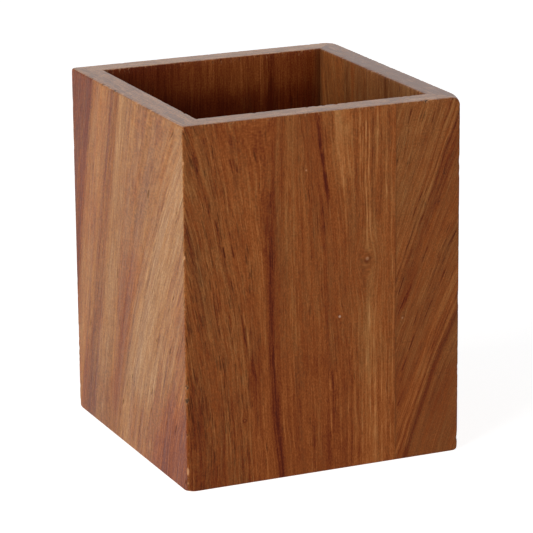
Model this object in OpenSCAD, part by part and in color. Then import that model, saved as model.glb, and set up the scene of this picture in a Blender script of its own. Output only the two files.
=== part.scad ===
// Square wooden pen pot: four mitred walls, two of them edge-glued from two staves,
// closed round a floor panel that sits in a groove. The pot stands on Z = 0, centred on
// the Z axis, with its front wall facing -Y. Lengths are in millimetres.

/* [Pot] */
// Outside width, from left to right
width = 80; // [50:1:160]
// Outside depth, from front to back
depth = 80; // [50:1:160]
// Height from the table to the rim
height = 99; // [50:1:200]
// Thickness of the wall boards
wall = 7; // [5:0.5:12]

/* [Staves] */
// Width of the stave at the right end of the front wall
front_narrow_w = 19; // [14:1:34]
// Width of the stave at the back end of the right wall
right_narrow_w = 23; // [14:1:34]

/* [Floor] */
// Thickness of the floor panel
panel_t = 6; // [3:0.5:10]
// Height of the floor panel's underside above the table
panel_rise = 3; // [2:0.5:15]
// Depth of the groove that holds the floor panel
groove_depth = 3; // [1:0.5:4]
// Room left at each edge of the floor panel for it to swell
panel_gap = 0.3; // [0.1:0.1:0.8]
// Play above the floor panel in its groove
groove_play = 0.1; // [0:0.05:0.3]

/* [Edges] */
// Radius of the four upright corners
corner_r = 0.5; // [0.2:0.1:3]
// Chamfer along the rim and the foot of the walls
edge_ease = 0.4; // [0.2:0.1:1]
// Chamfer along the edges of the floor panel
panel_ease = 0.5; // [0.2:0.1:1]

/* [Hidden] */
$fn = 64;

// Height of the groove, and how far the floor panel reaches beyond the inner faces
groove_h = panel_t + groove_play;
panel_reach = groove_depth - panel_gap;

// Inside of the pot, between the faces of opposite walls
inside_w = width - 2 * wall;
inside_d = depth - 2 * wall;

// Where the glue lines lie, measured along the wall from its left end as seen from outside
front_glue_line = width - front_narrow_w;
right_glue_line = depth - right_narrow_w;

// Section through a wall: outer face at X = 0, inner face at X = wall, foot at Y = 0
module wall_section() {
    polygon([
        [edge_ease, 0],
        [wall - edge_ease, 0],
        [wall, edge_ease],
        [wall, panel_rise],
        [wall - groove_depth, panel_rise],
        [wall - groove_depth, panel_rise + groove_h],
        [wall, panel_rise + groove_h],
        [wall, height - edge_ease],
        [wall - edge_ease, height],
        [edge_ease, height],
        [0, height - edge_ease],
        [0, edge_ease]
    ]);
}

// Outline of the pot seen from above, with its rounded corners
module pot_outline() {
    translate([corner_r - width / 2, -depth / 2])
        square([width - 2 * corner_r, depth]);
    translate([-width / 2, corner_r - depth / 2])
        square([width, depth - 2 * corner_r]);
    for (x = [-1, 1], y = [-1, 1])
        translate([x * (width / 2 - corner_r), y * (depth / 2 - corner_r)])
            circle(corner_r);
}

// Board seen from above: square at a glue line, mitred where it ends in a corner of the pot.
// run is the length of the whole wall, and the board covers it from start to end.
module board_plan(run, start, end) {
    start_mitre = start == 0 ? wall : 0;
    end_mitre = end == run ? wall : 0;
    polygon([
        [start, 0],
        [end, 0],
        [end - end_mitre, wall],
        [start + start_mitre, wall]
    ]);
}

// One board of a wall. face is how far the wall's outer face lies from the pot's axis,
// and turn swings the wall round from the front.
module wall_board(run, face, turn, start, end) {
    intersection() {
        rotate([0, 0, turn])
            translate([-run / 2, -face, 0])
                intersection() {
                    rotate([90, 0, 90])
                        linear_extrude(run)
                            wall_section();
                    linear_extrude(height)
                        board_plan(run, start, end);
                }
        linear_extrude(height)
            pot_outline();
    }
}

// Section through the floor panel, chamfered along both faces
module panel_section(span) {
    polygon([
        [panel_ease - span / 2, 0],
        [span / 2 - panel_ease, 0],
        [span / 2, panel_ease],
        [span / 2, panel_t - panel_ease],
        [span / 2 - panel_ease, panel_t],
        [panel_ease - span / 2, panel_t],
        [-span / 2, panel_t - panel_ease],
        [-span / 2, panel_ease]
    ]);
}

module front_wide_stave() {
    color("#8c5329")
        wall_board(width, depth / 2, 0, 0, front_glue_line);
}

module front_narrow_stave() {
    color("#7d4822")
        wall_board(width, depth / 2, 0, front_glue_line, width);
}

module right_wide_stave() {
    color("#8f5a33")
        wall_board(depth, width / 2, 90, 0, right_glue_line);
}

module right_narrow_stave() {
    color("#99633a")
        wall_board(depth, width / 2, 90, right_glue_line, depth);
}

module back_board() {
    color("#834a25")
        wall_board(width, depth / 2, 180, 0, width);
}

module left_board() {
    color("#a8754f")
        wall_board(depth, width / 2, -90, 0, depth);
}

module base_panel() {
    panel_w = inside_w + 2 * panel_reach;
    panel_d = inside_d + 2 * panel_reach;
    color("#7a4a28")
        translate([0, 0, panel_rise])
            intersection() {
                translate([0, panel_d / 2, 0])
                    rotate([90, 0, 0])
                        linear_extrude(panel_d)
                            panel_section(panel_w);
                translate([-panel_w / 2, 0, 0])
                    rotate([90, 0, 90])
                        linear_extrude(panel_w)
                            panel_section(panel_d);
            }
}

front_wide_stave();
front_narrow_stave();
right_wide_stave();
right_narrow_stave();
back_board();
left_board();
base_panel();
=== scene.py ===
"""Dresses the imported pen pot. Each board becomes a mesh with rounded, slightly worn edges and a
wood figure of its own, and the pot stands on a pale floor in soft light from the left."""
import math
from dataclasses import dataclass, field

import bpy
import numpy as np
from mathutils import Matrix, Vector, noise
from mathutils.geometry import delaunay_2d_cdt


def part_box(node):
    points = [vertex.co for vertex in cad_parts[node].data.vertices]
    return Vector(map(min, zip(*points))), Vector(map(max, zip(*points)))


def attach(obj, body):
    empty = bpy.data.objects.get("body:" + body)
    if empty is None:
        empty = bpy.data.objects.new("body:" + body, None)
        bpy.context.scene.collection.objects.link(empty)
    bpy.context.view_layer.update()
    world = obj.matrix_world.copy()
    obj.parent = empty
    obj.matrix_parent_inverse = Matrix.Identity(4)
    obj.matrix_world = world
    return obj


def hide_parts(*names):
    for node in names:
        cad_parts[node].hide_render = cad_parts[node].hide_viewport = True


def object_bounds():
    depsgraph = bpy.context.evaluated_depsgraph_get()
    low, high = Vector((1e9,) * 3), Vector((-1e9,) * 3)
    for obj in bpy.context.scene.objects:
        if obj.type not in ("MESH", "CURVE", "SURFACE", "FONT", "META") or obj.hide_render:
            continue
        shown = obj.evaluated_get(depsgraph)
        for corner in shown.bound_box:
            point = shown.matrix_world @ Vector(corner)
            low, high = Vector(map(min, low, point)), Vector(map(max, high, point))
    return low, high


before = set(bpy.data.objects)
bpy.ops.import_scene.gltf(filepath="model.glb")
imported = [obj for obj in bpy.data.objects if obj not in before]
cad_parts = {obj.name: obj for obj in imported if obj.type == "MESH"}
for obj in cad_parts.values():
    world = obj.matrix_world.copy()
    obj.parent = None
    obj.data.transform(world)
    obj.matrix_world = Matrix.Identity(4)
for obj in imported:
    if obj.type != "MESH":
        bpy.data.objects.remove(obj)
cad_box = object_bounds()

# Lengths are in millimetres unless a name says otherwise
MM = 0.001
X, Y, Z = 0, 1, 2


def span(node, axis):
    """Lowest and highest place of a CAD node along an axis."""
    low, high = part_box(node)
    return low[axis] / MM, high[axis] / MM


# Sizes of the pot, read from the frame
width, depth, height = [(high - low) / MM for low, high in zip(*cad_box)]
wall = span("left_board", X)[1] + width / 2
front_glue_line = span("front_narrow_stave", X)[0] + width / 2
right_glue_line = span("right_narrow_stave", Y)[0] + depth / 2
panel_foot, panel_top = span("base_panel", Z)
panel_half = span("base_panel", X)[1]

# Edges and the groove round the floor panel
CORNER_R = 0.5
EDGE_R = 0.42
PANEL_R = 0.6
GROOVE_GAP = 0.3
GROOVE_PLAY = 0.1

# Spacing of the mesh on the outer faces, on the inner faces and round the edges
OUTER_STEP = 0.5
INNER_STEP = 1.6
RIM_STEPS = 10
EDGE_STEPS = 4
CORNER_STEPS = 6

# Points closer than this are one, and faces at a wider angle than this, in degrees, show an edge
SAME_PLACE = 1e-6
SHARP_ANGLE = 40


# Wood figure


@dataclass
class Streak:
    """A lighter or darker streak that follows the grain. at is its middle, as the distance from the
    wall's left end and the depth below the rim. half_width is measured along the wall. lean is how
    much it slants against the grain, and brown its change of the share of brown."""
    at: tuple
    length: float
    half_width: float
    tone: float
    lean: float = 0.0
    brown: float = 0.0


@dataclass
class Speck:
    """A small round mark on the outer face, with the change of tone in its centre and in the ring
    round it. filler is the share of pale filler in the centre."""
    at: tuple
    radius: float
    centre: float
    ring: float
    filler: float = 0.0


@dataclass
class Figure:
    """The look of one board's wood. A guide is one line of the grain, given by its distance from the
    wall's left end at the rim, half way down and at the foot. bands, brown, pores and fine give the
    tone, the share of brown, the crowding of the pores and the strength of the fibres across the
    grain, against the distance half way down. coarse widens the fibres. tan stretches the share of
    brown, and what goes beyond 1 is tan. inside is the change of tone on the inner face, painted
    shade of the pot's interior, and end that of the end grain. seed sets the board's noise apart,
    relief scales its bump, and gloss is its specular level."""
    guides: list
    bands: list
    brown: list
    pores: list
    fine: list
    seed: float
    coarse: float = 1.0
    relief: float = 1.0
    tan: float = 1.0
    gloss: float = 0.08
    inside: float = -0.06
    end: float = 0.0
    streaks: list = field(default_factory=list)
    specks: list = field(default_factory=list)


def alike(places, length, half_width, tone, lean=0.0):
    """Streaks of one kind at several places."""
    return [Streak(place, length, half_width, tone, lean) for place in places]


def ring_lines(at, length, lines):
    """The lines of one slanting growth ring. Each is given by its distance to the right of the ring's
    dark edge, its half width and its tone."""
    return [Streak((at[0] + off, at[1]), length, half_width, tone) for off, half_width, tone in lines]


FRONT_WIDE = Figure(
    guides=[
        (-24, -9, -4), (-9, 4.5, 8.5), (3, 13, 16.5), (12, 19, 21.5), (19.3, 22.2, 24.8),
        (25.2, 24.5, 26.6), (31, 32.5, 33.5), (37.6, 43.2, 44.5), (43, 46.3, 46.8),
        (47.8, 48.9, 49), (52.5, 52.7, 52.7), (61, 61, 61), (72, 72, 72),
    ],
    bands=[
        (-9, 0.45), (1, 0.44), (4, 0.48), (8, 0.50), (14, 0.50), (18, 0.52), (21, 0.56), (22.8, 0.49),
        (23.6, 0.42), (24.2, 0.35), (24.8, 0.33), (25.4, 0.38), (26.2, 0.46), (26.8, 0.49), (34, 0.49),
        (38, 0.47), (43, 0.49), (47, 0.51), (52, 0.52), (57, 0.54), (62, 0.53),
    ],
    brown=[
        (-9, 0.55), (12, 0.55), (17, 0.25), (21, 0.1), (24.5, 0.0), (27, 0.3), (34, 0.28), (38, 0.15),
        (43, 0.15), (48, 0.35), (62, 0.3),
    ],
    pores=[(-9, 0.74), (10, 0.72), (20, 0.46), (26, 0.2), (36, 0.3), (44, 0.2), (62, 0.1)],
    fine=[(-9, 0.7), (16, 0.66), (24, 0.54), (34, 0.5), (46, 0.54), (62, 0.54)],
    seed=1.0,
    end=0.05,
    streaks=[
        # The dark heart streak, weaker at the rim
        Streak((24.6, 5), 34, 3.5, 0.17),
        Streak((24.4, 22), 5, 0.4, -0.3),
        *alike(((24.1, 44), (24.9, 58), (25.8, 74), (26.9, 90)), 26, 0.4, -0.22),
        *alike(((24.6, 36), (24.2, 62), (25.2, 80), (26.2, 95)), 16, 0.3, -0.2),
        *alike(((25.4, 48), (26.3, 70), (25.9, 86)), 12, 0.35, 0.12),
        Streak((25.2, 63.5), 4, 0.7, -0.2),
        Streak((26.7, 88), 34, 1.2, -0.12),
        Streak((28.2, 86), 14, 0.35, 0.2),
        Streak((21.4, 38), 30, 0.7, 0.1, 0, -0.2),
        Streak((20, 10), 26, 3.5, 0.02, 0, -0.35),
        Streak((32, 18), 50, 7, 0.04),
        # Short dark streak and the pale band beside it
        Streak((39.5, 13), 30, 2.4, -0.05, 0, -0.3),
        Streak((38.2, 6), 14, 0.8, -0.28),
        Streak((39.6, 14), 16, 0.95, -0.33),
        Streak((40.8, 20), 9, 1.1, -0.28),
        Streak((40.7, 9), 14, 0.4, -0.2),
        *alike(((38.0, 28), (39.8, 28)), 12, 0.35, -0.24),
        *alike(((38.2, 43), (36.3, 37)), 6, 0.35, -0.22),
        Streak((39.6, 0), 10, 1.2, 0.14),
        Streak((45.4, 5), 34, 4.6, 0.21, 0, -0.1),
        Streak((50, 6), 50, 14, 0.06),
        Streak((44.4, 8), 26, 0.6, 0.1),
        Streak((46.3, 24), 22, 0.4, 0.26),
        Streak((42.6, 3), 14, 0.6, -0.16),
        Streak((46.9, 15), 26, 0.35, -0.18),
        # Fine light lines near the glue line, in the upper half
        *alike(((52.4, 17), (53.4, 17)), 44, 0.42, 0.36),
        *alike(((50.8, 12), (55.5, 9), (58.2, 23), (59.9, 40)), 28, 0.4, 0.22),
        *alike(((51.9, 16), (52.9, 16), (54.3, 16), (56.6, 16)), 36, 0.4, -0.15),
        *alike(((48.4, 42), (51.5, 10)), 12, 0.35, 0.18),
        Streak((57.5, 4), 12, 1.0, 0.12),
        Streak((58.8, 7), 12, 0.35, -0.28),
        # Fine light lines in the lower half, on paler wood
        Streak((54, 80), 74, 8, 0.14),
        *alike(((50.8, 90), (53.2, 83), (54.7, 82), (48.8, 85), (46.8, 90), (58.4, 84)), 24, 0.4, 0.2),
        *alike(((56.9, 75), (57.0, 94), (45.0, 80), (43.7, 76), (52.0, 68)), 14, 0.4, 0.2),
        *alike(((49.8, 84), (52.4, 84), (55.8, 84), (47.8, 84)), 34, 0.45, -0.12),
        Streak((52.8, 57.5), 9, 0.5, 0.28),
        Streak((48.0, 62.5), 12, 0.4, 0.2, -0.08),
        Streak((41.9, 81), 26, 0.4, 0.28),
        Streak((42.7, 79), 18, 0.4, -0.24),
        Streak((41, 94), 22, 1.4, -0.14, 0, -0.3),
        Streak((36.6, 88), 10, 0.35, -0.2),
        Streak((60.4, 66), 36, 0.35, 0.18),
        # Slanting double line and the dark wood below it
        Streak((17.4, 57), 14, 0.45, 0.26, 0.1),
        Streak((16.6, 57), 16, 0.5, -0.3, 0.1),
        Streak((19.2, 66), 14, 0.8, -0.22, 0.1),
        Streak((19.5, 71), 14, 2.0, -0.12, 0, -0.4),
        Streak((20.8, 64), 14, 0.6, -0.16),
        Streak((9, 92), 46, 10, -0.05),
        Streak((17.5, 95), 18, 1.0, -0.14),
        *alike(((15.6, 93), (13.2, 80)), 13, 0.4, -0.2),
        # Dark slits and soft patches at the left
        Streak((9.6, 8), 12, 1.2, 0.12),
        Streak((7, 11), 24, 0.4, -0.2),
        Streak((3.3, 10), 6, 0.45, -0.46),
        *alike(((11.6, 34.6), (14, 34.8), (15.4, 12.2)), 3.5, 0.45, -0.46),
        *alike(((13.8, 12), (11.6, 20)), 5, 0.35, -0.34),
        *alike(((9.9, 30), (20.6, 24), (6.6, 21.5)), 9, 0.4, -0.34),
        *alike(((9.5, 48), (13.5, 45), (17, 28)), 7, 0.35, -0.26),
        *alike(((18.6, 18), (16.3, 27), (12.7, 22)), 13, 0.35, 0.14),
        Streak((3, 34), 50, 3.2, -0.09),
        Streak((1.5, 31), 10, 1.6, -0.14),
        Streak((2.5, 87), 36, 3.4, -0.16, 0, -0.2),
        # Redder wood towards the foot
        Streak((30, 99), 76, 70, -0.03, 0, -0.35),
    ],
    specks=[
        Speck((52.3, 41.8), 1.8, -0.18, 0.0),
        Speck((52.5, 41.2), 1.1, 0.3, -0.08, 0.15),
        Speck((34.8, 15.2), 0.6, 0.3, 0.0, 0.2),
        Speck((44.4, 56.2), 0.8, 0.2, 0.0, 0.65),
        Speck((16.6, 81.3), 0.5, 0.2, -0.25),
    ],
)

UPPER_RING = [
    (0.0, 0.7, -0.18), (-1.0, 0.45, 0.12), (-1.7, 0.4, -0.16), (-2.4, 0.45, 0.1), (-3.2, 0.35, -0.16),
    (-4.2, 0.6, 0.06), (2.2, 2.2, -0.05),
]
LOWER_RING = [
    (0.4, 1.3, -0.2), (-0.9, 0.5, 0.14), (-1.7, 0.4, -0.12), (-2.5, 0.7, 0.2), (-3.4, 0.3, -0.14),
    (-4.4, 0.7, 0.14), (-5.6, 0.4, -0.06),
]
FRONT_NARROW = Figure(
    guides=[(52, 40, 25), (82.5, 62, 46), (110, 81.5, 60.5), (130, 104, 84)],
    bands=[
        (40, 0.48), (52, 0.49), (58, 0.50), (61, 0.49), (63, 0.43), (66, 0.44), (72, 0.46), (78, 0.49),
        (82, 0.51), (84.5, 0.44), (88, 0.43), (105, 0.43),
    ],
    brown=[(40, 0.75), (58, 0.6), (62, 0.4), (66, 0.45), (74, 0.55), (81, 0.35), (86, 0.85), (105, 0.95)],
    pores=[(40, 0.6), (56, 0.6), (61, 0.45), (66, 0.5), (80, 0.4), (105, 0.2)],
    fine=[(40, 0.55), (82, 0.55), (87, 0.34), (105, 0.28)],
    seed=2.0,
    end=-0.12,
    streaks=[
        # Two slanting growth rings, and dark slits along the grain
        *ring_lines((70, 28), 110, UPPER_RING),
        *ring_lines((73.2, 72), 100, LOWER_RING),
        *alike(((64.8, 4), (71.7, 5), (78.1, 38.5), (67, 59.5), (62.3, 81.5)), 5, 0.4, -0.34),
        *alike(((62.6, 14), (65.8, 66.5), (69.6, 42), (63.5, 72), (75, 49)), 5, 0.35, -0.3),
        *alike(((70.2, 22.5), (66.7, 28.3), (64.6, 37.5), (70.6, 58.5)), 9, 0.3, -0.28),
        Streak((74.2, 64), 13, 0.45, -0.46),
        # Torn grain beside the glue line
        Streak((64.6, 51), 18, 2.0, -0.1, 0, -0.3),
        *alike(((62.5, 55.5), (63.4, 54), (64.4, 52.5), (62.2, 50)), 6, 0.35, -0.34),
        *alike(((63.0, 55), (63.9, 53.4)), 5, 0.3, 0.2),
        # Redder wood towards the foot
        Streak((70, 99), 76, 70, -0.01, 0, -0.35),
    ],
    specks=[Speck((63.0, 59.0), 0.6, 0.2, 0.0, 0.2)],
)

LEFT = Figure(
    guides=[
        (-8, -20, -30), (5, -6, -14), (17, 4.9, -3), (33, 19.8, 6.8), (40, 28.6, 18.5),
        (45.7, 33.5, 24), (82, 50, 30.5), (104, 72, 53), (130, 97, 78),
    ],
    bands=[
        (-20, 0.29), (-6, 0.26), (2, 0.24), (3.9, 0.31), (5.4, 0.49), (7, 0.60), (11.5, 0.64), (15.5, 0.60),
        (17.5, 0.48), (19, 0.42), (20.6, 0.42), (22.2, 0.48), (23.8, 0.58), (26, 0.64), (31.5, 0.63),
        (34, 0.60), (38, 0.59), (47, 0.58), (49, 0.59), (50.5, 0.64), (53, 0.70), (58, 0.71),
        (66, 0.65), (72, 0.61), (80, 0.57), (97, 0.50),
    ],
    brown=[
        (-20, 0.05), (3.5, 0.1), (6, 0.4), (15.5, 0.4), (19.8, 0.4), (23.5, 0.5), (29, 0.7), (34, 0.6),
        (46, 0.55), (50, 0.65), (55, 0.85), (60, 0.85), (70, 0.6), (97, 0.3),
    ],
    pores=[(-20, 0.1), (40, 0.2), (56, 0.3), (97, 0.3)],
    fine=[(-20, 0.57), (40, 0.57), (52, 0.61), (62, 0.61), (70, 0.74), (97, 0.74)],
    seed=3.0,
    coarse=2.2,
    relief=3.0,
    tan=2.0,
    gloss=0.11,
    end=-0.05,
    streaks=[
        # Purple wood low in the middle and at the left, red-brown wood at the foot of the near corner
        Streak((35, 68), 60, 8, -0.15, 0, -0.3),
        Streak((6, 88), 28, 3.5, -0.15, 0, -0.2),
        Streak((36, 104), 60, 70, -0.08, 0, -0.1),
        Streak((70, 95), 46, 20, -0.14, 0, -0.7),
        Streak((60, 100), 26, 12, -0.11, 0, -0.4),
        Streak((12, 99), 40, 26, -0.08),
        Streak((10, 4), 44, 14, -0.05),
        # Slow changes along the second streak, along the pale strip and beside it
        Streak((32, 2), 34, 2.6, 0.1, 0, 0.1),
        Streak((44, 95), 30, 14, 0.0, 0, -0.3),
        Streak((72, 55), 36, 10, 0.04),
        Streak((73, 27), 30, 8, 0.04, 0, -0.1),
        Streak((23.5, 80), 44, 5, -0.05),
        # Ridges along the pale strip and to its right, as dark and pale streaks side by side: painted shade
        # and light of their relief
        *alike(((66, 24), (62, 33), (58.5, 41), (54, 48), (51, 55), (44, 70)), 16, 0.8, -0.14),
        *alike(((64, 31), (60, 40), (56, 47.5), (46, 69)), 18, 0.8, 0.1),
        *alike(((70, 62), (66, 70), (64, 74), (74, 50), (77, 45), (62, 60)), 10, 0.7, -0.16),
        # Dark dashes
        *alike(((56, 20), (52, 25), (47, 32)), 16, 1.0, -0.12),
        *alike(((30.2, 11), (13.6, 70.5), (10.6, 67)), 9, 0.8, -0.16),
        *alike(((62.6, 4.2), (66.4, 4.5), (59, 5), (67, 79)), 5, 0.8, -0.14),
    ],
)

RIGHT_WIDE = Figure(
    guides=[(-6, -2, 0), (20, 19, 18), (40, 41, 42), (64, 64, 64)],
    bands=[
        (-2, 0.44), (6, 0.42), (12, 0.48), (18, 0.52), (24, 0.46), (30, 0.42), (36, 0.48),
        (42, 0.50), (50, 0.46), (64, 0.48),
    ],
    brown=[(-2, 0.85), (30, 0.8), (64, 0.6)],
    pores=[(-2, 0.4), (64, 0.4)],
    fine=[(-2, 0.6), (64, 0.6)],
    seed=4.0,
    tan=2.0,
    # Darker inner face: painted shade of the pot's interior
    inside=-0.14,
    end=-0.42,
    streaks=[
        # Dark streaks, broad and fine, and the pale lines between them
        *alike(((32.8, 20), (10, 75)), 70, 1.6, -0.16),
        *alike(((19.8, 24), (44, 62), (27, 80)), 50, 0.9, -0.16),
        *alike(((25.5, 30), (38, 45), (49, 30), (15, 60)), 44, 0.5, 0.18),
        *alike(((8, 30), (22, 55), (35, 85), (52, 70), (41, 22)), 8, 0.4, -0.4),
        Streak((54, 10), 40, 2.0, 0.06, 0, -0.3),
    ],
)

RIGHT_NARROW = Figure(
    guides=[(46, 36, 26), (62, 51, 40), (78, 66, 55), (98, 86, 76)],
    bands=[
        (36, 0.46), (44, 0.42), (50, 0.46), (56, 0.52), (60, 0.44), (66, 0.50), (72, 0.44),
        (86, 0.42),
    ],
    brown=[(36, 0.7), (60, 0.5), (86, 0.4)],
    pores=[(36, 0.5), (86, 0.5)],
    fine=[(36, 0.6), (86, 0.6)],
    seed=5.0,
    tan=1.5,
    # Darker inner face: painted shade of the pot's interior
    inside=-0.1,
    end=-0.3,
    streaks=[
        *alike(((66, 30), (61, 72), (74, 60)), 60, 0.8, -0.2),
        *alike(((69.5, 22), (63, 50), (77, 70)), 40, 0.5, 0.16),
        *alike(((72, 20), (60, 40), (68, 80), (76, 44)), 7, 0.4, -0.4),
    ],
)

BACK = Figure(
    guides=[(-6, -4, -3), (20, 20, 21), (42, 42, 41), (60, 61, 62), (90, 92, 94)],
    # From 54 on the bands are darker, on both faces: painted shadow of the left wall on the inner face
    bands=[
        (-4, 0.46), (8, 0.46), (10.5, 0.55), (14.5, 0.48), (18, 0.53), (22.5, 0.44), (24, 0.37),
        (27, 0.54), (30, 0.47), (33, 0.54), (37, 0.44), (41.5, 0.53), (46, 0.47), (54, 0.40),
        (60, 0.34), (68, 0.42), (74, 0.36), (92, 0.40),
    ],
    brown=[(-4, 0.0), (92, 0.0)],
    pores=[(-4, 0.3), (92, 0.3)],
    fine=[(-4, 0.6), (92, 0.6)],
    seed=6.0,
    # Much darker inner face: painted shade of the pot's interior
    inside=-0.39,
    end=0.18,
    streaks=[
        # Painted light near the rim, where more light falls into the pot: paler and redder tone on both
        # faces
        Streak((36, 0), 26, 60, 0.33, 0, -0.4),
        # Fine lines, dark slits and two broad dark streaks
        *alike(((33, 20), (27, 14), (42, 40), (63, 55), (50, 75)), 50, 0.5, 0.14),
        *alike(((24, 30), (57, 40), (36, 80)), 70, 0.8, -0.16),
        *alike(((16, 24), (30, 60), (47, 30), (68, 70), (71, 20), (12, 80)), 8, 0.4, -0.36),
        *alike(((61, 60), (20, 62)), 60, 2.4, -0.08),
    ],
)

PANEL = Figure(
    guides=[(-10, -10, -9), (30, 31, 32), (60, 60, 59), (96, 95, 94)],
    bands=[(-10, 0.44), (12, 0.50), (28, 0.40), (44, 0.50), (60, 0.42), (80, 0.48), (95, 0.44)],
    brown=[(-10, 0.6), (95, 0.6)],
    pores=[(-10, 0.4), (95, 0.4)],
    fine=[(-10, 0.6), (95, 0.6)],
    seed=7.0,
    inside=0.0,
)


def guide_places(figure, down):
    """Where the grain's guide lines lie, at a share of the way down the board from 0 to 1."""
    top, middle, foot = np.array(figure.guides, float).T
    top_share = (1 - down) * (1 - 2 * down)
    middle_share = 4 * down * (1 - down)
    foot_share = down * (2 * down - 1)
    return top * top_share + middle * middle_share + foot * foot_share


def across_grain(figure, along, down):
    """Distance across the grain of places on the board, named after the guides' middles. down is
    one share of the way down for all of them."""
    middles = [guide[1] for guide in figure.guides]
    return np.interp(along, guide_places(figure, down), middles)


# Board meshes


@dataclass
class Board:
    """One board of a wall. run is the length of the whole wall, face is how far its outer face lies
    from the pot's axis, and turn swings it round from the front, in degrees."""
    node: str
    slot: str
    run: float
    face: float
    turn: float
    start: float
    end: float
    figure: Figure


BOARDS = [
    Board("front_wide_stave", "front_wide_wood", width, depth / 2, 0, 0, front_glue_line, FRONT_WIDE),
    Board("front_narrow_stave", "front_narrow_wood", width, depth / 2, 0, front_glue_line, width,
          FRONT_NARROW),
    Board("right_wide_stave", "right_wide_wood", depth, width / 2, 90, 0, right_glue_line, RIGHT_WIDE),
    Board("right_narrow_stave", "right_narrow_wood", depth, width / 2, 90, right_glue_line, depth,
          RIGHT_NARROW),
    Board("back_board", "back_wood", width, depth / 2, 180, 0, width, BACK),
    Board("left_board", "left_wood", depth, width / 2, -90, 0, depth, LEFT),
]


def arc(centre, radius, first, last, steps):
    """Points on an arc, with its angles in degrees."""
    angles = np.radians(np.linspace(first, last, steps + 1))
    return [(centre[0] + radius * math.cos(a), centre[1] + radius * math.sin(a)) for a in angles]


def evenly(first, last, step):
    """Values from first to last, about a step apart."""
    count = max(1, round(abs(last - first) / step))
    return np.linspace(first, last, count + 1)


def closed_outline(rows):
    """Array of the rows of a closed outline, each point once."""
    kept = [rows[0]]
    for row in rows[1:-1]:
        if math.dist(row, kept[-1]) > SAME_PLACE:
            kept.append(row)
    return np.array(kept, float)


def wall_edge(centre, first, end_grain):
    """Rows of a wall's section round an edge, a quarter turn from an angle in degrees. end_grain gives
    the share of end grain at its two ends."""
    places = arc(centre, EDGE_R, first, first - 90, EDGE_STEPS)
    return [(t, z, e) for (t, z), e in zip(places, np.linspace(*end_grain, EDGE_STEPS + 1))]


def wall_section():
    """Closed section of a wall as rows of depth in from the outer face, height above the table and
    share of end grain. It runs up the outer face, over the rim and down the inner face."""
    low, high = EDGE_R, height - EDGE_R
    near, far = EDGE_R, wall - EDGE_R
    groove_floor = depth / 2 - panel_half - GROOVE_GAP
    groove_top = panel_top + GROOVE_PLAY
    rows = [(0, z, 0) for z in evenly(low, high, OUTER_STEP)]
    rows += wall_edge((near, high), 180, (0, 1))
    rows += [(t, height, 1) for t in np.linspace(near, far, RIM_STEPS + 1)]
    rows += wall_edge((far, high), 90, (1, 0))
    rows += [(wall, z, 0) for z in evenly(high, groove_top, INNER_STEP)]
    rows += [(groove_floor, groove_top, 0), (groove_floor, panel_foot, 0), (wall, panel_foot, 0)]
    rows += wall_edge((far, low), 0, (0, 1))
    rows += [(t, 0, 1) for t in np.linspace(far, near, RIM_STEPS + 1)]
    rows += wall_edge((near, low), -90, (1, 0))
    return closed_outline(rows)


def stations(board):
    """Places along a board as rows of outer distance, outer depth and inner distance. The outer
    edge turns half of the rounded corner at a mitred end."""
    mitred_start = board.start == 0
    mitred_end = board.end == board.run
    first = CORNER_R if mitred_start else board.start
    last = board.run - CORNER_R if mitred_end else board.end
    outer = [(a, 0.0) for a in evenly(first, last, OUTER_STEP)]
    if mitred_start:
        outer = arc((CORNER_R, CORNER_R), CORNER_R, 225, 270, CORNER_STEPS)[:-1] + outer
    if mitred_end:
        outer += arc((board.run - CORNER_R, CORNER_R), CORNER_R, 270, 315, CORNER_STEPS)[1:]
    outer = np.array(outer)
    inner_first = board.start + (wall if mitred_start else 0)
    inner_last = board.end - (wall if mitred_end else 0)
    inner = np.interp(outer[:, 0], outer[[0, -1], 0], (inner_first, inner_last))
    return np.column_stack([outer, inner])


def smooth(value, low, high):
    """0 below low, 1 above high and an even turn between them."""
    share = np.clip((value - low) / (high - low), 0, 1)
    return share * share * (3 - 2 * share)


def rough(points, scale, seed):
    """Smooth noise of -1 to 1 at each point, with features about one scale long."""
    return np.array([noise.noise(Vector(p) / scale + Vector((seed, seed, seed))) for p in points])


# Wear


@dataclass
class Tip:
    """A corner of the pot where three edges meet and wear has rounded it. side gives the signs of its
    x, y and z, seen from the pot's middle, and reach how far the wear goes along each axis."""
    side: tuple
    reach: tuple


TIPS = [
    Tip((-1, -1, 1), (2.4, 2.4, 1.8)),
    Tip((1, -1, 1), (3.6, 6.0, 2.6)),
    Tip((1, 1, 1), (3.6, 3.6, 2.0)),
    Tip((-1, 1, 1), (1.5, 1.5, 1.5)),
    Tip((-1, -1, -1), (3.0, 3.0, 3.0)),
    *(Tip(side, (2.0, 2.0, 2.0)) for side in ((1, -1, -1), (1, 1, -1), (-1, 1, -1))),
]
# How far a tip sinks along each axis, as a share of its reach
TIP_SINK = 1 / 6


@dataclass
class Bites:
    """Small bites that wear takes out of an edge, up to reach away from it. Each noise is given by its
    size, seed and weight, and where they add up to less than whole there is no bite."""
    reach: float
    noises: list
    whole: float


CORNER_BITES = Bites(1.2, [(1.5, 3.1, 0.8), (5.0, 8.4, 0.5)], 0.1)
RIM_BITES = Bites(1.0, [(0.9, 5.7, 0.9), (3.5, 1.9, 0.5)], 0.15)
# Deepest bites in the upright corners and in the outer and inner edges of the rim
CORNER_DEEPEST = 0.2
OUTER_DEEPEST = 0.28
INNER_DEEPEST = 0.42

# Distances from an edge between which the worn look fades
CORNER_FADE = (0.2, 0.9)
RIM_FADE = (0.3, 1.1)


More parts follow.
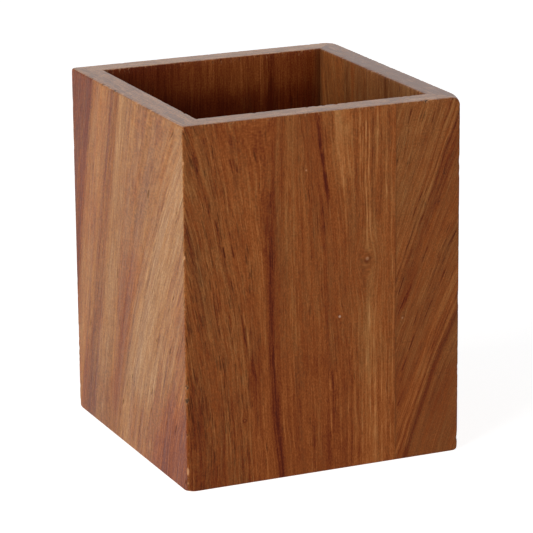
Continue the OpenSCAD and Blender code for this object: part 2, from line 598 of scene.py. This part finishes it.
@dataclass
class Nick:
    """A chip out of an edge. at is its middle, stretch how much taller than wide it is, and inwards
    the way that the surface sinks, by up to sink. fresh marks a chip that shows pale wood."""
    at: tuple
    radius: float
    sink: float
    inwards: tuple
    stretch: float = 1.0
    fresh: bool = False


def near_corner_nick(rise, radius, sink, stretch=1.0, fresh=False):
    """A nick in the upright corner nearest to the camera, at a share of the height."""
    at = (-width / 2, -depth / 2, rise * height)
    return Nick(at, radius, sink, (0.7, 0.7, 0), stretch, fresh)


def left_rim_nick(back, radius, sink, stretch, fresh=False):
    """A nick in the left wall's rim, at a share of the depth back from its middle."""
    at = (-width / 2, back * depth, height)
    return Nick(at, radius, sink, (0.7, 0, -0.7), stretch, fresh)


NICKS = [
    near_corner_nick(0.294, 0.8, 0.35),
    near_corner_nick(0.258, 0.8, 0.35, 1.3),
    near_corner_nick(0.025, 0.5, 0.3, 1.6),
    near_corner_nick(0.06, 0.6, 0.2, 2.4, True),
    near_corner_nick(0.903, 0.5, 0.15, 1.3, True),
    near_corner_nick(0.65, 0.5, 0.15, 1.5, True),
    Nick((width / 2, -depth / 2, 0.035 * height), 0.8, 0.2, (-0.7, 0.7, 0)),
    Nick((0.375 * width, -depth / 2, height), 0.8, 0.3, (0, 0.7, -0.7)),
    *(left_rim_nick(back, 0.9, 0.25, 0.6) for back in (0.20, 0.15, 0.09)),
    *(left_rim_nick(back, 0.8, 0.2, 0.8, True) for back in (-0.11, -0.23)),
]


def from_outside(points):
    """How far points lie in from the pot's outer faces, along x and along y."""
    return width / 2 - np.abs(points[:, X]), depth / 2 - np.abs(points[:, Y])


def from_nook(points):
    """How far points on the inner faces lie from the pot's nearest inner corner."""
    return np.maximum(*from_outside(points)) - wall


def bite_share(bites, points, away):
    """Depth of the bites, as a share of the deepest. away is the distance from the edge."""
    level = sum(weight * rough(points, size, seed) for size, seed, weight in bites.noises)
    return np.clip(level - bites.whole, 0, 1) * (1 - away / bites.reach)


def nick_share(points, nick):
    """1 in the middle of a nick, falling to 0 at its edge."""
    off = points - np.array(nick.at)
    off[:, Z] /= nick.stretch
    return np.clip(1 - (off ** 2).sum(axis=1) / nick.radius ** 2, 0, 1)


def worn(points):
    """Moves points near the pot's corners and edges inwards, as use and sanding wear them. Boards
    that share a joint get the same wear there, because it depends on the place alone."""
    moved = points.copy()
    side_x = np.sign(points[:, X])
    side_y = np.sign(points[:, Y])
    in_x, in_y = from_outside(points)
    deep = np.minimum(in_x, in_y)
    below = height - points[:, Z]

    # Nibbled upright corners
    near = in_x + in_y < CORNER_BITES.reach
    bite = CORNER_DEEPEST * bite_share(CORNER_BITES, points[near], (in_x + in_y)[near])
    moved[near, X] -= side_x[near] * bite
    moved[near, Y] -= side_y[near] * bite

    # Nibbled rim edges, outside and inside
    for edge_deep, outwards, deepest in ((deep, 1, OUTER_DEEPEST), (wall - deep, -1, INNER_DEEPEST)):
        near = (edge_deep + below < RIM_BITES.reach) & (below < RIM_BITES.reach)
        bite = deepest * bite_share(RIM_BITES, points[near], (edge_deep + below)[near])
        across_x = (in_x < in_y)[near]
        moved[near, X] -= np.where(across_x, side_x[near] * bite * outwards, 0)
        moved[near, Y] -= np.where(across_x, 0, side_y[near] * bite * outwards)
        moved[near, Z] -= bite

    # Rounded tips
    for tip in TIPS:
        side, reach = np.array(tip.side), np.array(tip.reach)
        up = below if side[Z] > 0 else points[:, Z]
        share = in_x / reach[X] + in_y / reach[Y] + up / reach[Z]
        near = (side_x == side[X]) & (side_y == side[Y]) & (share < 1)
        sink = TIP_SINK * (1 - share[near]) ** 2
        moved[near] -= sink[:, None] * side * reach

    for nick in NICKS:
        moved += nick_share(points, nick)[:, None] * np.array(nick.inwards) * nick.sink
    return moved


def edge_wear(points):
    """How worn the surface is, from 0 in the middle of the faces to 1 on the edges."""
    in_x, in_y = from_outside(points)
    deep = np.minimum(in_x, in_y)
    below = height - points[:, Z]
    corner = smooth(in_x + in_y, *CORNER_FADE)
    outer_rim = smooth(deep + below, *RIM_FADE)
    inner_rim = smooth(np.abs(wall - deep) + below, *RIM_FADE)
    return 1 - np.minimum(corner, np.minimum(outer_rim, inner_rim))


# Pieces

# How the grain parts round a speck: its reach in radii, how much longer than wide that is, how far the
# lines are pulled, and the depths between which it fades
PARTING_REACH = 2.2
PARTING_STRETCH = 1.8
PARTING_PULL = 0.75
PARTING_DEPTHS = (1, 3)
# Sizes and amounts of the waver of the grain lines, its scale along the grain, the depth by which the
# boards' noise lies apart, and the shift of the lines for each millimetre of depth
WAVERS = [(14, 0.9), (4, 0.3)]
WAVER_ALONG = 0.35
BOARDS_APART = 40
RING_SHIFT = 0.25
# The kind of result of Blender's triangulation that keeps the triangles inside the outline
INSIDE_TRIANGLES = 1


def in_pot(board, along, deep, up):
    """Places on a board as points of the pot's frame."""
    turn = math.radians(board.turn)
    x = along - board.run / 2
    y = deep - board.face
    return np.column_stack([
        x * math.cos(turn) - y * math.sin(turn),
        x * math.sin(turn) + y * math.cos(turn),
        up,
    ])


def end_triangles(outline):
    """Triangles that fill a closed outline in a plane, each running round in the outline's direction."""
    corners = [Vector(point) for point in outline]
    loop = [list(range(len(corners)))]
    result = delaunay_2d_cdt(corners, [], loop, INSIDE_TRIANGLES, SAME_PLACE)
    triangles, sources = result[2:4]
    triangles = [tuple(sources[corner][0] for corner in triangle) for triangle in triangles]
    x, y = np.transpose(outline)
    clockwise = np.dot(x, np.roll(y, -1)) < np.dot(y, np.roll(x, -1))
    return [triangle[::-1] for triangle in triangles] if clockwise else triangles


def add_object(name, data):
    """A new object in the scene."""
    made = bpy.data.objects.new(name, data)
    bpy.context.scene.collection.objects.link(made)
    return made


def loft(name, rings, outline, attributes):
    """Mesh through closed rings of points, filled at both ends. outline is the flat shape of a ring,
    and attributes gives a value or a vector for each point."""
    count, size = rings.shape[:2]
    faces = []
    for i in range(count - 1):
        for j in range(size):
            k = (j + 1) % size
            faces.append((i * size + j, (i + 1) * size + j, (i + 1) * size + k, i * size + k))
    last = (count - 1) * size
    for a, b, c in end_triangles(outline):
        faces.append((a, b, c))
        faces.append((last + c, last + b, last + a))
    mesh = bpy.data.meshes.new(name)
    mesh.from_pydata((rings.reshape(-1, 3) * MM).tolist(), [], faces)
    for key, values in attributes.items():
        values = np.asarray(values, np.float32)
        kind, part = ("FLOAT_VECTOR", "vector") if values.ndim > 1 else ("FLOAT", "value")
        mesh.attributes.new(key, kind, "POINT").data.foreach_set(part, values.ravel())
    mesh.shade_smooth()
    mesh.set_sharp_from_angle(angle=math.radians(SHARP_ANGLE))
    mesh.update()
    return add_object(name, mesh)


def part_round(across, figure, speck, along, deep, down):
    """Bends the grain lines apart round a speck on the outer face."""
    centre = across_grain(figure, speck.at[0], speck.at[1] / height)
    reach = PARTING_REACH * speck.radius
    off_along = (along - speck.at[0]) / reach
    off_down = (down - speck.at[1]) / (PARTING_STRETCH * reach)
    near = np.exp(-off_along ** 2 - off_down ** 2) * (1 - smooth(deep, *PARTING_DEPTHS))
    across += (centre - across) * PARTING_PULL * near


def grain_vectors(figure, along, deep, down):
    """Distance across the grain, distance along it and depth, for places on a board. The lines
    waver a little, and shift with the depth as rings cut at an angle do."""
    across = np.empty_like(along)
    for level in np.unique(down):
        row = down == level
        across[row] = across_grain(figure, along[row], level / height)
    for speck in figure.specks:
        part_round(across, figure, speck, along, deep, down)
    places = np.column_stack([along, down * WAVER_ALONG, deep + BOARDS_APART * figure.seed])
    for size, amount in WAVERS:
        across += amount * rough(places, size, figure.seed)
    across += RING_SHIFT * deep
    return np.column_stack([across, down, deep])


def make_board(board):
    """Dressed mesh of one board of a wall, with long grain on its faces and end grain above and below."""
    section = wall_section()
    rows = stations(board)
    share = section[:, 0] / wall
    along = rows[:, [0]] * (1 - share) + rows[:, [2]] * share
    deep = rows[:, [1]] * (1 - share) + wall * share
    up = np.broadcast_to(section[:, 1], along.shape)
    along, deep, up = along.ravel(), deep.ravel(), up.ravel()
    points = in_pot(board, along, deep, up)
    attributes = {
        "grain": grain_vectors(board.figure, along, deep, height - up),
        "wear": edge_wear(points),
        "hollow": np.max([nick_share(points, nick) for nick in NICKS if not nick.fresh], axis=0),
        "fresh": np.max([nick_share(points, nick) for nick in NICKS if nick.fresh], axis=0),
        "seam": np.minimum(along - board.start, board.end - along),
        "nook": from_nook(points),
    }
    rings = worn(points).reshape(len(rows), len(section), 3)
    piece = loft("dressed_" + board.node, rings, section[:, :2], attributes)
    piece.data.materials.append(face_wood(board.node, board.figure, board))
    piece.data.materials.append(end_wood(board.node, board.figure))
    on_end = (section[:, 2] + np.roll(section[:, 2], -1)) / 2 > 0.5
    along_slots = np.tile(on_end, len(rows) - 1)
    slots = np.zeros(len(piece.data.polygons), np.int32)
    slots[:len(along_slots)] = along_slots
    piece.data.polygons.foreach_set("material_index", slots)
    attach(piece, "root")
    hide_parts(board.node)


def panel_section():
    """Closed section of the floor panel, with rounded edges, as rows of place across and height."""
    low, high = panel_foot + PANEL_R, panel_top - PANEL_R
    side = panel_half - PANEL_R
    flat = evenly(-side, side, INNER_STEP)
    rows = [(x, panel_foot) for x in flat]
    rows += arc((side, low), PANEL_R, -90, 0, EDGE_STEPS)
    rows += arc((side, high), PANEL_R, 0, 90, EDGE_STEPS)
    rows += [(x, panel_top) for x in flat[::-1]]
    rows += arc((-side, high), PANEL_R, 90, 180, EDGE_STEPS)
    rows += arc((-side, low), PANEL_R, 180, 270, EDGE_STEPS)
    return closed_outline(rows)


def make_panel():
    """Dressed mesh of the floor panel, whose grain runs from front to back."""
    section = panel_section()
    ends = evenly(-panel_half, panel_half, INNER_STEP)
    across = np.broadcast_to(section[:, 0], (len(ends), len(section)))
    along = np.broadcast_to(ends[:, None], across.shape)
    up = np.broadcast_to(section[:, 1], across.shape)
    rings = np.stack([across, along, up], axis=2)
    points = rings.reshape(-1, 3)
    place = points[:, X] + width / 2
    down = points[:, Y] + height / 2
    unworn = np.zeros(len(points))
    attributes = {
        "grain": grain_vectors(PANEL, place, points[:, Z], down),
        "wear": unworn,
        "hollow": unworn,
        "fresh": unworn,
        "seam": np.full(len(points), wall),
        "nook": from_nook(points),
    }
    piece = loft("dressed_base_panel", rings, section, attributes)
    piece.data.materials.append(face_wood("base_panel", PANEL, None))
    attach(piece, "root")
    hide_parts("base_panel")


# Wood material


class Graph:
    """The node tree of one material, with a short call for each kind of node that the wood uses."""

    def __init__(self, material):
        material.use_nodes = True
        self.nodes = material.node_tree.nodes
        self.links = material.node_tree.links
        self.nodes.clear()

    def feed(self, socket, value):
        if isinstance(value, bpy.types.NodeSocket):
            self.links.new(value, socket)
        else:
            socket.default_value = value

    def node(self, kind, inputs=None, **settings):
        made = self.nodes.new("ShaderNode" + kind)
        for key, value in settings.items():
            setattr(made, key, value)
        for key, value in (inputs or {}).items():
            self.feed(made.inputs[key], value)
        return made

    def math(self, operation, *values):
        made = self.node("Math", dict(enumerate(values)), operation=operation)
        return made.outputs[0]

    def times(self, first, second):
        return self.math("MULTIPLY", first, second)

    def weighted(self, start, *terms):
        """start plus each term's value times its weight."""
        result = start
        for value, weight in terms:
            result = self.math("MULTIPLY_ADD", value, weight, result)
        return result

    def step(self, value, low, high, first=0.0, last=1.0):
        """A smooth turn from first to last as value goes from low to high."""
        inputs = {"Value": value, 1: low, 2: high, 3: first, 4: last}
        return self.node("MapRange", inputs, interpolation_type="SMOOTHSTEP").outputs[0]

    def attribute(self, name, part="Fac"):
        return self.node("Attribute", attribute_name=name).outputs[part]

    def noise(self, vector, detail=2.0, roughness=0.5):
        """Noise with 0 as its mean."""
        inputs = {"Vector": vector, "Scale": 1.0, "Detail": detail, "Roughness": roughness}
        made = self.node("TexNoise", inputs, noise_dimensions="3D")
        return self.math("SUBTRACT", made.outputs[0], 0.5)

    def scaled(self, vector, sizes, shift):
        """A vector divided by the size of the features along each axis, and moved by shift."""
        scale = [1 / size for size in sizes]
        inputs = {"Vector": vector, "Scale": scale, "Location": (shift, shift * 1.7, shift * 2.3)}
        return self.node("Mapping", inputs).outputs[0]

    def curve(self, value, points):
        """A value looked up on a smooth curve through points."""
        low, high = points[0][0], points[-1][0]
        share = self.node("MapRange", {"Value": value, 1: low, 2: high}).outputs[0]
        made = self.node("FloatCurve", {"Value": share})
        line = made.mapping.curves[0].points
        while len(line) < len(points):
            line.new(0.5, 0.5)
        for handle, (place, level) in zip(line, points):
            handle.location = ((place - low) / (high - low), level)
            handle.handle_type = "AUTO_CLAMPED"
        made.mapping.update()
        return made.outputs[0]

    def ramp(self, value, colours):
        """A colour looked up on a ramp of even steps."""
        made = self.node("ValToRGB", {0: value})
        elements = made.color_ramp.elements
        while len(elements) < len(colours):
            elements.new(0.5)
        for element, place, colour in zip(elements, np.linspace(0, 1, len(colours)), colours):
            element.position = place
            element.color = (*colour, 1)
        return made.outputs[0]

    def mix(self, share, first, second):
        inputs = {0: share, 6: first, 7: second}
        return self.node("Mix", inputs, data_type="RGBA").outputs[2]


@dataclass
class WoodNoise:
    """Noise in the wood. sizes are those of its features across the grain, along it and in depth.
    detail counts its finer layers, shift sets it apart from the board's other noise, and widened says
    that the board's coarseness widens it."""
    sizes: tuple
    detail: float
    shift: float = 0.0
    widened: bool = False
    roughness: float = 0.5


# Broad changes of tone, single fibres, and what breaks up the edges of bands and streaks
DRIFT = WoodNoise((5, 120, 9), 1)
MOTTLE = WoodNoise((4, 14, 7), 2)
STRIPES = WoodNoise((1.0, 60, 4), 2, 0, True)
FIBRES = WoodNoise((0.42, 20, 1.5), 2, 0, True)
HAIRS = WoodNoise((0.2, 3.6, 0.9), 1, 0, True)
GRIT = WoodNoise((0.25, 0.5, 0.5), 0, 0, True)
RAGGED = WoodNoise((1.2, 7, 3), 1)
BREAKS = WoodNoise((0.5, 4, 1.5), 1, 11, True)
# Where fibres and pores crowd, the pale hairs, partly painted glints, and the pores
CROWD = WoodNoise((3, 26, 6), 1, 5)
GLINTS = WoodNoise((0.28, 9, 0.8), 0, 9, True)
PORES = WoodNoise((0.28, 4.0, 0.7), 0, 7, True)
# Changes of colour
BLOTCHES = WoodNoise((4.5, 18, 8), 2, 3)
TINT = WoodNoise((1.3, 40, 5), 1, 3)
FLECKS = WoodNoise((0.8, 1.8, 1.5), 1, 3)
# End grain
SPECKLE = WoodNoise((0.5, 50, 0.5), 2, roughness=0.7)
END_PATCHES = WoodNoise((5, 50, 3), 2)
END_RINGS = WoodNoise((7, 50, 0.6), 2)
# By how much the noise of one board is shifted from that of the next
SEED_STEP = 13.7

# Levels of noise between which pale hairs, partly painted glints, and pores come in, and how dark the pores
# are
GLINT_LEVELS = (0.10, 0.26)
PORE_LEVELS = (0.38, 0.48)
PORE_SHARE = 0.55
# Half width below which a streak frays, with the range of the noise and what is left of it at both ends
FRAYED_BELOW = 1.0
FRAYING = (-0.15, 0.1, 0.3, 1.25)
# Distances from a streak's middle between which it fades, as shares of its length
STREAK_FADE = (0.25, 0.55)
# Distances from a speck's middle, in radii, between which its centre and the sides of its ring fade
SPECK_CENTRE = (0.2, 0.6)
SPECK_RING_INSIDE = (0.5, 0.8)
SPECK_RING_OUTSIDE = (0.8, 1.4)
# Shares of the wall between which the inner faces' painted shade comes in, and the fading of the painted
# shade in their corners
INNER_DEPTHS = (0.5, 0.9)
INNER_CORNER_SHADE = (0.2, 2.4, 0.55, 0.0)
# Distances from a glue line between which its dark line fades, and how dark it is on faces and on ends
GLUE_FADE = (0.05, 0.3)
FACE_GLUE_SHARE = 0.35
END_GLUE_SHARE = 0.3
# Chips and tears along worn edges: their sizes, then the range of the noise and their share at both ends
CHIP_SIZES = (0.7, 0.7, 1.6)
CHIPPED = (0.10, 0.22, 0.0, 0.55)
TEAR_SIZES = (0.5, 0.5, 0.9)
TORN = (0.12, 0.2, 0.0, 0.6)
# Ranges and shares of fresh nicks, of old ones and of the painted shade in parts of the old ones' hollows
FRESH_NICKS = (0.1, 0.6, 0.0, 0.9)
OLD_NICKS = (0.1, 0.5)
OLD_NICK_SHARE = 0.45
DARK_PARTS = (-0.1, 0.05, 0.0, 0.9)

FACE_ROUGHNESS = 0.42
END_ROUGHNESS = 0.34
END_GLOSS = 0.35
END_TONE = 0.44
# Even steps of colour from dark to pale, for red, brown and tan wood and for end grain
RED_TONES = [
    (0.085, 0.010, 0.002), (0.150, 0.026, 0.005), (0.245, 0.061, 0.012), (0.360, 0.112, 0.027),
    (0.480, 0.180, 0.055),
]
BROWN_TONES = [
    (0.080, 0.016, 0.004), (0.145, 0.040, 0.010), (0.240, 0.083, 0.022), (0.350, 0.146, 0.044),
    (0.470, 0.225, 0.085),
]
TAN_TONES = [
    (0.075, 0.020, 0.006), (0.140, 0.050, 0.016), (0.235, 0.100, 0.034), (0.345, 0.175, 0.075),
    (0.465, 0.265, 0.130),
]
END_TONES = [(0.17, 0.060, 0.026), (0.37, 0.155, 0.066), (0.58, 0.30, 0.15)]
PORE_COLOUR = (0.045, 0.011, 0.003, 1)
FILLER_COLOUR = (0.55, 0.40, 0.30, 1)
# Dark of the glue lines, also used for the painted shade in the inner corners
GLUE_AND_SHADE_COLOUR = (0.09, 0.03, 0.01, 1)
WORN_COLOUR = (0.46, 0.22, 0.10, 1)
# Painted shade in the gaps of tears and in the hollows of old nicks
RECESS_SHADE_COLOUR = (0.045, 0.017, 0.006, 1)


def wood_noise(graph, grain, figure, kind):
    """One kind of noise along a board's grain."""
    across, along, deep = kind.sizes
    if kind.widened:
        across *= figure.coarse
    vector = graph.scaled(grain, (across, along, deep), figure.seed * SEED_STEP + kind.shift)
    return graph.noise(vector, kind.detail, kind.roughness)


def streak_mask(graph, across, down, figure, streak):
    """1 in the middle of a streak and 0 outside it."""
    along, below = streak.at
    share = below / height
    centre = across_grain(figure, along, share)
    spread = across_grain(figure, along + 0.5, share) - across_grain(figure, along - 0.5, share)
    past = graph.math("SUBTRACT", down, below)
    off = graph.math("SUBTRACT", across, float(centre))
    if streak.lean:
        off = graph.weighted(off, (past, float(-streak.lean * spread)))
    half_width = float(streak.half_width * spread)
    side = graph.step(graph.math("ABSOLUTE", off), 0.0, half_width, 1.0, 0.0)
    fade_from, fade_to = [fade * streak.length for fade in STREAK_FADE]
    ends = graph.step(graph.math("ABSOLUTE", past), fade_from, fade_to, 1.0, 0.0)
    return graph.times(side, ends)


def add_streaks(graph, figure, across, down, frayed, tone, brown):
    """The tone and the share of brown, changed by a board's streaks."""
    for streak in figure.streaks:
        mask = streak_mask(graph, across, down, figure, streak)
        if streak.half_width < FRAYED_BELOW:
            mask = graph.times(mask, frayed)
        tone = graph.weighted(tone, (mask, streak.tone))
        if streak.brown:
            brown = graph.weighted(brown, (mask, streak.brown * figure.tan))
    return tone, brown


def speck_masks(graph, place, board, speck):
    """1 in the centre of a speck on the outer face, and 1 in the ring round it."""
    along, below = speck.at
    spot = in_pot(board, np.array([along]), np.array([0.0]), np.array([height - below]))[0] * MM
    away = graph.node("VectorMath", {0: place, 1: tuple(spot)}, operation="DISTANCE").outputs["Value"]
    away = graph.math("DIVIDE", away, speck.radius * MM)
    centre = graph.step(away, *SPECK_CENTRE, 1.0, 0.0)
    inside = graph.step(away, *SPECK_RING_INSIDE)
    outside = graph.step(away, *SPECK_RING_OUTSIDE, 1.0, 0.0)
    return centre, graph.times(inside, outside)


def add_specks(graph, figure, board, place, tone):
    """The tone, changed by a board's specks, and the share of pale filler in them."""
    filled = 0.0
    for speck in figure.specks:
        centre, ring = speck_masks(graph, place, board, speck)
        tone = graph.weighted(tone, (centre, speck.centre), (ring, speck.ring))
        filled = graph.weighted(filled, (centre, speck.filler))
    return tone, filled


def wood_colour(graph, tone, brown):
    """Colour at a tone, which goes from red over brown at 1 to tan at 2."""
    colour = graph.mix(brown, graph.ramp(tone, RED_TONES), graph.ramp(tone, BROWN_TONES))
    return graph.mix(graph.math("SUBTRACT", brown, 1.0), colour, graph.ramp(tone, TAN_TONES))


def glue_line(graph, colour, share):
    """Darkens the thin line where boards are glued."""
    line = graph.step(graph.attribute("seam"), *GLUE_FADE, 1.0, 0.0)
    return graph.mix(graph.times(line, share), colour, GLUE_AND_SHADE_COLOUR)


def worn_edges(graph, colour, place):
    """Pale chips and tears along worn edges, with painted shade in the tears' gaps, and the marks of
    the nicks, with painted shade in parts of the old ones' hollows.
    """
    wear = graph.attribute("wear")
    chips = graph.noise(graph.scaled(place, [size * MM for size in CHIP_SIZES], shift=3.0), 2)
    chipped = graph.step(chips, *CHIPPED)
    colour = graph.mix(graph.times(wear, chipped), colour, WORN_COLOUR)
    tears = graph.noise(graph.scaled(place, [size * MM for size in TEAR_SIZES], shift=8.0), 1)
    torn = graph.step(tears, *TORN)
    colour = graph.mix(graph.times(wear, torn), colour, RECESS_SHADE_COLOUR)
    fresh = graph.step(graph.attribute("fresh"), *FRESH_NICKS)
    colour = graph.mix(fresh, colour, WORN_COLOUR)
    hollow = graph.step(graph.attribute("hollow"), *OLD_NICKS)
    colour = graph.mix(graph.times(hollow, OLD_NICK_SHARE), colour, WORN_COLOUR)
    dark = graph.step(tears, *DARK_PARTS)
    return graph.mix(graph.times(hollow, dark), colour, RECESS_SHADE_COLOUR)


def finish_material(graph, colour, roughness, relief, gloss):
    """Closes a wood material. relief is in millimetres."""
    bump = graph.node("Bump", {"Height": relief, "Strength": 1.0, "Distance": MM})
    shader = graph.node("BsdfPrincipled", {
        "Base Color": colour,
        "Roughness": roughness,
        "Specular IOR Level": gloss,
        "Normal": bump.outputs[0],
    })
    graph.node("OutputMaterial", {0: shader.outputs[0]})


def face_wood(name, figure, board):
    """Oiled long grain with the figure of one board."""
    material = bpy.data.materials.new("wood_" + name)
    graph = Graph(material)
    grain = graph.attribute("grain", "Vector")
    place = graph.node("TexCoord").outputs["Object"]
    across, down, deep = graph.node("SeparateXYZ", {0: grain}).outputs

    def noise_of(kind):
        return wood_noise(graph, grain, figure, kind)

    mottle = noise_of(MOTTLE)
    stripes = noise_of(STRIPES)
    fibres = noise_of(FIBRES)
    hairs = noise_of(HAIRS)
    grit = noise_of(GRIT)
    ragged = noise_of(RAGGED)

    # Fibres, pale hairs that are partly painted glints, and dark pores, thicker in some places than in
    # others
    crowd = noise_of(CROWD)
    strength = graph.weighted(1.35, (crowd, 2.4))
    strength = graph.times(graph.curve(across, figure.fine), strength)
    glints = graph.step(graph.weighted(noise_of(GLINTS), (crowd, -0.3)), *GLINT_LEVELS)
    fine = graph.weighted(0.0, (fibres, 0.55), (hairs, 0.56), (glints, 0.13))
    fine = graph.times(fine, strength)
    crowding = graph.curve(across, figure.pores)
    level = graph.weighted(noise_of(PORES), (crowd, 0.5), (crowding, 0.3))
    pores = graph.step(level, *PORE_LEVELS)

    # Tone from 0, dark, to 1, pale, with painted shade on the inner faces, and the share of browner wood,
    # in blotches and in streaks
    inside = graph.step(deep, *[share * wall for share in INNER_DEPTHS])
    bands = graph.curve(graph.weighted(across, (ragged, 1.0)), figure.bands)
    tone = graph.weighted(
        graph.math("ADD", bands, fine),
        (inside, figure.inside),
        (noise_of(DRIFT), 0.20),
        (mottle, 0.22),
        (stripes, 0.34),
        (grit, 0.42),
    )
    brown = graph.weighted(
        graph.times(graph.curve(across, figure.brown), figure.tan),
        (noise_of(BLOTCHES), 1.3),
        (noise_of(TINT), 1.0),
        (noise_of(FLECKS), 0.7),
        (fine, 1.6),
        (grit, -1.1),
    )
    streak_across = graph.weighted(across, (ragged, 0.3))
    frayed = graph.step(noise_of(BREAKS), *FRAYING)
    tone, brown = add_streaks(graph, figure, streak_across, down, frayed, tone, brown)
    tone, filled = add_specks(graph, figure, board, place, tone)
    colour = wood_colour(graph, tone, brown)
    colour = graph.mix(graph.times(pores, PORE_SHARE), colour, PORE_COLOUR)
    colour = graph.mix(filled, colour, FILLER_COLOUR)

    # Glue lines, painted shade in the inner corners, and worn edges
    colour = glue_line(graph, colour, FACE_GLUE_SHARE)
    nook = graph.weighted(graph.attribute("nook"), (mottle, 6.0))
    corner_shade = graph.times(inside, graph.step(nook, *INNER_CORNER_SHADE))
    colour = graph.mix(corner_shade, colour, GLUE_AND_SHADE_COLOUR)
    colour = worn_edges(graph, colour, place)

    relief = graph.weighted(0.0, (hairs, 0.03), (fibres, 0.03), (pores, -0.05))
    relief = graph.times(relief, figure.relief)
    roughness = graph.weighted(FACE_ROUGHNESS, (pores, 0.2), (stripes, 0.3))
    finish_material(graph, colour, roughness, relief, figure.gloss)
    return material


def end_wood(name, figure):
    """Oiled end grain of the rim and the foot, speckled with cut pores and lined by the rings."""
    material = bpy.data.materials.new("end_wood_" + name)
    graph = Graph(material)
    grain = graph.attribute("grain", "Vector")
    speckle = wood_noise(graph, grain, figure, SPECKLE)
    tone = graph.weighted(
        END_TONE + figure.end,
        (speckle, 2.1),
        (wood_noise(graph, grain, figure, END_RINGS), 1.2),
        (wood_noise(graph, grain, figure, END_PATCHES), 1.2),
    )
    colour = glue_line(graph, graph.ramp(tone, END_TONES), END_GLUE_SHARE)
    colour = worn_edges(graph, colour, graph.node("TexCoord").outputs["Object"])
    relief = graph.times(speckle, 0.05)
    roughness = graph.weighted(END_ROUGHNESS, (speckle, 0.3))
    finish_material(graph, colour, roughness, relief, END_GLOSS)
    return material


# Stage

FLOOR_SIZE_M = 6.0
FLOOR_ALBEDO = 0.7
FLOOR_GLOW = 0.8
# Light from the horizon and from straight above, and the rise, from 0 to 1, at which the latter starts
HORIZON_LEVEL = 0.45
ZENITH_LEVEL = 0.08
ZENITH_RISE = 0.8
POT_CENTRE_M = Vector((0, 0, height * MM / 2))


def seen_directly(graph):
    """1 for rays that show a surface to the camera, straight or in a reflection, and 0 for light."""
    rays = graph.node("LightPath").outputs
    reflected = graph.math("ADD", rays["Is Glossy Ray"], rays["Is Transmission Ray"])
    return graph.math("ADD", rays["Is Camera Ray"], reflected)


def make_floor():
    """Pale floor that takes the pot's shadow and otherwise shows as white."""
    half = FLOOR_SIZE_M / 2
    corners = [(-half, -half, 0), (half, -half, 0), (half, half, 0), (-half, half, 0)]
    mesh = bpy.data.meshes.new("floor")
    mesh.from_pydata(corners, [], [(0, 1, 2, 3)])
    floor = add_object("floor", mesh)
    material = bpy.data.materials.new("pale_floor")
    graph = Graph(material)
    albedo = (FLOOR_ALBEDO, FLOOR_ALBEDO, FLOOR_ALBEDO, 1)
    paint = graph.node("BsdfDiffuse", {"Color": albedo})
    glow = graph.node("Emission", {"Strength": graph.times(seen_directly(graph), FLOOR_GLOW)})
    both = graph.node("AddShader", {0: paint.outputs[0], 1: glow.outputs[0]})
    graph.node("OutputMaterial", {0: both.outputs[0]})
    mesh.materials.append(material)


def make_world():
    """White background, with soft light that comes mostly from the sides."""
    world = bpy.data.worlds.new("studio")
    bpy.context.scene.world = world
    graph = Graph(world)
    direction = graph.node("TexCoord").outputs["Generated"]
    rise = graph.node("SeparateXYZ", {0: direction}).outputs[2]
    lit = graph.step(rise, 0.0, ZENITH_RISE, HORIZON_LEVEL, ZENITH_LEVEL)
    seen = seen_directly(graph)
    level = graph.math("ADD", graph.times(lit, graph.math("SUBTRACT", 1.0, seen)), seen)
    background = graph.node("Background", {"Color": (1, 1, 1, 1), "Strength": level})
    graph.node("OutputWorld", {0: background.outputs[0]})


def make_light(name, direction, distance_m, size_m, level):
    """A square soft light. level is how brightly it lights a white surface that faces it."""
    data = bpy.data.lights.new(name, "AREA")
    data.size = size_m
    data.energy = level * (math.pi * distance_m) ** 2
    light = add_object(name, data)
    towards = Vector(direction).normalized()
    light.location = POT_CENTRE_M + towards * distance_m
    light.rotation_euler = towards.to_track_quat("Z", "Y").to_euler()


# Camera, fitted to the edges of the pot in the photo
CAMERA_AZIMUTH = -23.983
CAMERA_ELEVATION = 15.859
CAMERA_ROLL = -0.4805
CAMERA_DISTANCE = 838.9
CAMERA_TARGET = (1.0555, 0, 46.764)
FOCAL_PIXELS = 3038.2
IMAGE_PIXELS = 533
SENSOR_WIDTH = 36


def make_camera():
    """Camera at the photo's viewing angle, turned about its own axis by the roll."""
    azimuth = math.radians(CAMERA_AZIMUTH)
    elevation = math.radians(CAMERA_ELEVATION)
    back = Vector((
        math.sin(azimuth) * math.cos(elevation),
        -math.cos(azimuth) * math.cos(elevation),
        math.sin(elevation),
    ))
    right = Vector((math.cos(azimuth), math.sin(azimuth), 0))
    up = back.cross(right)
    level = Matrix((right, up, back)).transposed()
    turned = level @ Matrix.Rotation(math.radians(CAMERA_ROLL), 3, "Z")
    data = bpy.data.cameras.new("camera")
    data.sensor_width = SENSOR_WIDTH
    data.lens = FOCAL_PIXELS * SENSOR_WIDTH / IMAGE_PIXELS
    camera = add_object("camera", data)
    place = (Vector(CAMERA_TARGET) + back * CAMERA_DISTANCE) * MM
    camera.matrix_world = Matrix.Translation(place) @ turned.to_4x4()
    bpy.context.scene.camera = camera


make_camera()
for board in BOARDS:
    make_board(board)
make_panel()
make_floor()
make_world()
make_light("left_softbox", direction=(-0.9, -0.3, 0.3), distance_m=1.2, size_m=0.9, level=1.0)
make_light("front_fill", direction=(0.2, -0.95, 0.3), distance_m=1.5, size_m=1.2, level=0.22)
make_light("back_fill", direction=(0.88, 0.45, 0.2), distance_m=1.5, size_m=1.2, level=0.25)
bpy.context.scene.view_settings.view_transform = "Standard"
